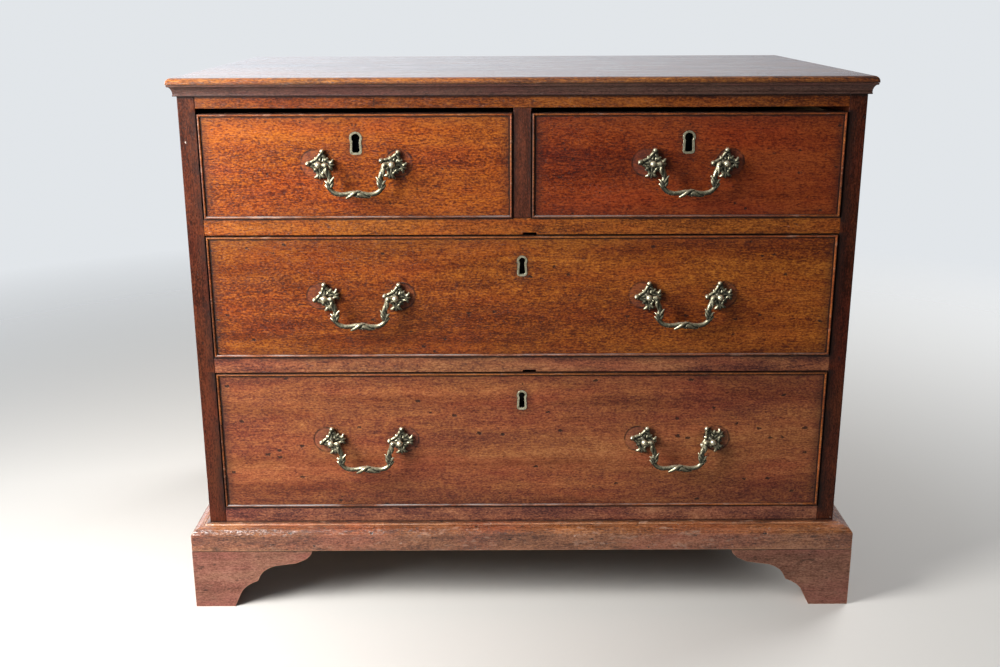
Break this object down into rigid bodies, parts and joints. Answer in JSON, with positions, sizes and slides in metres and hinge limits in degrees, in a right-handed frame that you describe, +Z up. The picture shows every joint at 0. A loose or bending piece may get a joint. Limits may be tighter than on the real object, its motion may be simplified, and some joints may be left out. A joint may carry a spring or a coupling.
{
  "type": "chest of drawers",
  "caption": "Mahogany chest of drawers: short drawers over long ones, cock-beaded fronts, bail handles, moulded top and plinth on bracket feet.",
  "frame": {"origin": "on the floor, at the middle of the chest's outline seen from above", "axes": "+X to the right of someone facing the fronts, +Y from the fronts to the back, +Z up; the fronts face -Y"},
  "size_m": [0.905, 0.5516, 0.7181],
  "materials": {
    "mahogany_front": "waxed figured mahogany, warm orange brown",
    "mahogany_case": "waxed mahogany, darker brown",
    "mahogany_top": "polished mahogany, glossy",
    "mahogany_plinth": "waxed mahogany, worn, reddish",
    "bead_wood": "waxed mahogany bead, lighter",
    "oak": "bare dry oak",
    "aged_brass": "aged brass, dull in the hollows",
    "lock_iron": "bare iron"
  },
  "bodies": {
    "carcase": {"top_board": "mahogany_top", "top_moulding": "mahogany_case", "side_panel_left": "mahogany_case", "side_panel_right": "mahogany_case", "top_rail": "mahogany_case", "upper_rail": "mahogany_case", "lower_rail": "mahogany_case", "bottom_rail": "mahogany_case", "drawer_divider": "mahogany_case", "upper_dustboard": "oak", "lower_dustboard": "oak", "bottom_board": "oak", "back_board": "oak", "plinth_moulding": "mahogany_plinth", "foot_front_left": "mahogany_plinth", "foot_front_right": "mahogany_plinth", "foot_rear_left": "mahogany_plinth", "foot_rear_right": "mahogany_plinth"},
    "short_left_drawer": {"short_left_front": "mahogany_front", "short_left_sides_and_back": "oak", "short_left_bottom": "oak", "short_left_cock_bead": "bead_wood", "short_left_lock": "aged_brass", "short_left_handle_post_left": "aged_brass", "short_left_handle_post_right": "aged_brass"},
    "short_left_bail": {"short_left_bail": "aged_brass"},
    "short_left_lock_bolt": {"short_left_lock_bolt": "lock_iron"},
    "short_right_drawer": {"short_right_front": "mahogany_front", "short_right_sides_and_back": "oak", "short_right_bottom": "oak", "short_right_cock_bead": "bead_wood", "short_right_lock": "aged_brass", "short_right_handle_post_left": "aged_brass", "short_right_handle_post_right": "aged_brass"},
    "short_right_bail": {"short_right_bail": "aged_brass"},
    "short_right_lock_bolt": {"short_right_lock_bolt": "lock_iron"},
    "upper_long_drawer": {"upper_long_front": "mahogany_front", "upper_long_sides_and_back": "oak", "upper_long_bottom": "oak", "upper_long_cock_bead": "bead_wood", "upper_long_lock": "aged_brass", "upper_long_left_handle_post_left": "aged_brass", "upper_long_left_handle_post_right": "aged_brass", "upper_long_right_handle_post_left": "aged_brass", "upper_long_right_handle_post_right": "aged_brass"},
    "upper_long_left_bail": {"upper_long_left_bail": "aged_brass"},
    "upper_long_right_bail": {"upper_long_right_bail": "aged_brass"},
    "upper_long_lock_bolt": {"upper_long_lock_bolt": "lock_iron"},
    "lower_long_drawer": {"lower_long_front": "mahogany_front", "lower_long_sides_and_back": "oak", "lower_long_bottom": "oak", "lower_long_cock_bead": "bead_wood", "lower_long_lock": "aged_brass", "lower_long_left_handle_post_left": "aged_brass", "lower_long_left_handle_post_right": "aged_brass", "lower_long_right_handle_post_left": "aged_brass", "lower_long_right_handle_post_right": "aged_brass"},
    "lower_long_left_bail": {"lower_long_left_bail": "aged_brass"},
    "lower_long_right_bail": {"lower_long_right_bail": "aged_brass"},
    "lower_long_lock_bolt": {"lower_long_lock_bolt": "lock_iron"}
  },
  "joints": [
    {"name": "short_left_slide", "type": "slide", "parent": "carcase", "child": "short_left_drawer", "axis": [0, -1, 0], "range_m": [0, 0.36]},
    {"name": "short_left_bail_swing", "type": "hinge", "parent": "short_left_drawer", "child": "short_left_bail", "pos_m": [-0.2095, -0.27025, 0.61155], "axis": [-1, 0, 0], "range_deg": [-14, 170]},
    {"name": "short_left_bolt_throw", "type": "slide", "parent": "short_left_drawer", "child": "short_left_lock_bolt", "axis": [0, 0, 1], "range_m": [0, 0.012]},
    {"name": "short_right_slide", "type": "slide", "parent": "carcase", "child": "short_right_drawer", "axis": [0, -1, 0], "range_m": [0, 0.36]},
    {"name": "short_right_bail_swing", "type": "hinge", "parent": "short_right_drawer", "child": "short_right_bail", "pos_m": [0.2095, -0.27025, 0.61155], "axis": [-1, 0, 0], "range_deg": [-14, 170]},
    {"name": "short_right_bolt_throw", "type": "slide", "parent": "short_right_drawer", "child": "short_right_lock_bolt", "axis": [0, 0, 1], "range_m": [0, 0.012]},
    {"name": "upper_long_slide", "type": "slide", "parent": "carcase", "child": "upper_long_drawer", "axis": [0, -1, 0], "range_m": [0, 0.36]},
    {"name": "upper_long_left_bail_swing", "type": "hinge", "parent": "upper_long_drawer", "child": "upper_long_left_bail", "pos_m": [-0.21, -0.27025, 0.4388], "axis": [-1, 0, 0], "range_deg": [-14, 170]},
    {"name": "upper_long_right_bail_swing", "type": "hinge", "parent": "upper_long_drawer", "child": "upper_long_right_bail", "pos_m": [0.21, -0.27025, 0.4388], "axis": [-1, 0, 0], "range_deg": [-14, 170]},
    {"name": "upper_long_bolt_throw", "type": "slide", "parent": "upper_long_drawer", "child": "upper_long_lock_bolt", "axis": [0, 0, 1], "range_m": [0, 0.008]},
    {"name": "lower_long_slide", "type": "slide", "parent": "carcase", "child": "lower_long_drawer", "axis": [0, -1, 0], "range_m": [0, 0.36]},
    {"name": "lower_long_left_bail_swing", "type": "hinge", "parent": "lower_long_drawer", "child": "lower_long_left_bail", "pos_m": [-0.21, -0.27025, 0.23875], "axis": [-1, 0, 0], "range_deg": [-14, 170]},
    {"name": "lower_long_right_bail_swing", "type": "hinge", "parent": "lower_long_drawer", "child": "lower_long_right_bail", "pos_m": [0.21, -0.27025, 0.23875], "axis": [-1, 0, 0], "range_deg": [-14, 170]},
    {"name": "lower_long_bolt_throw", "type": "slide", "parent": "lower_long_drawer", "child": "lower_long_lock_bolt", "axis": [0, 0, 1], "range_m": [0, 0.008]}
  ]
}
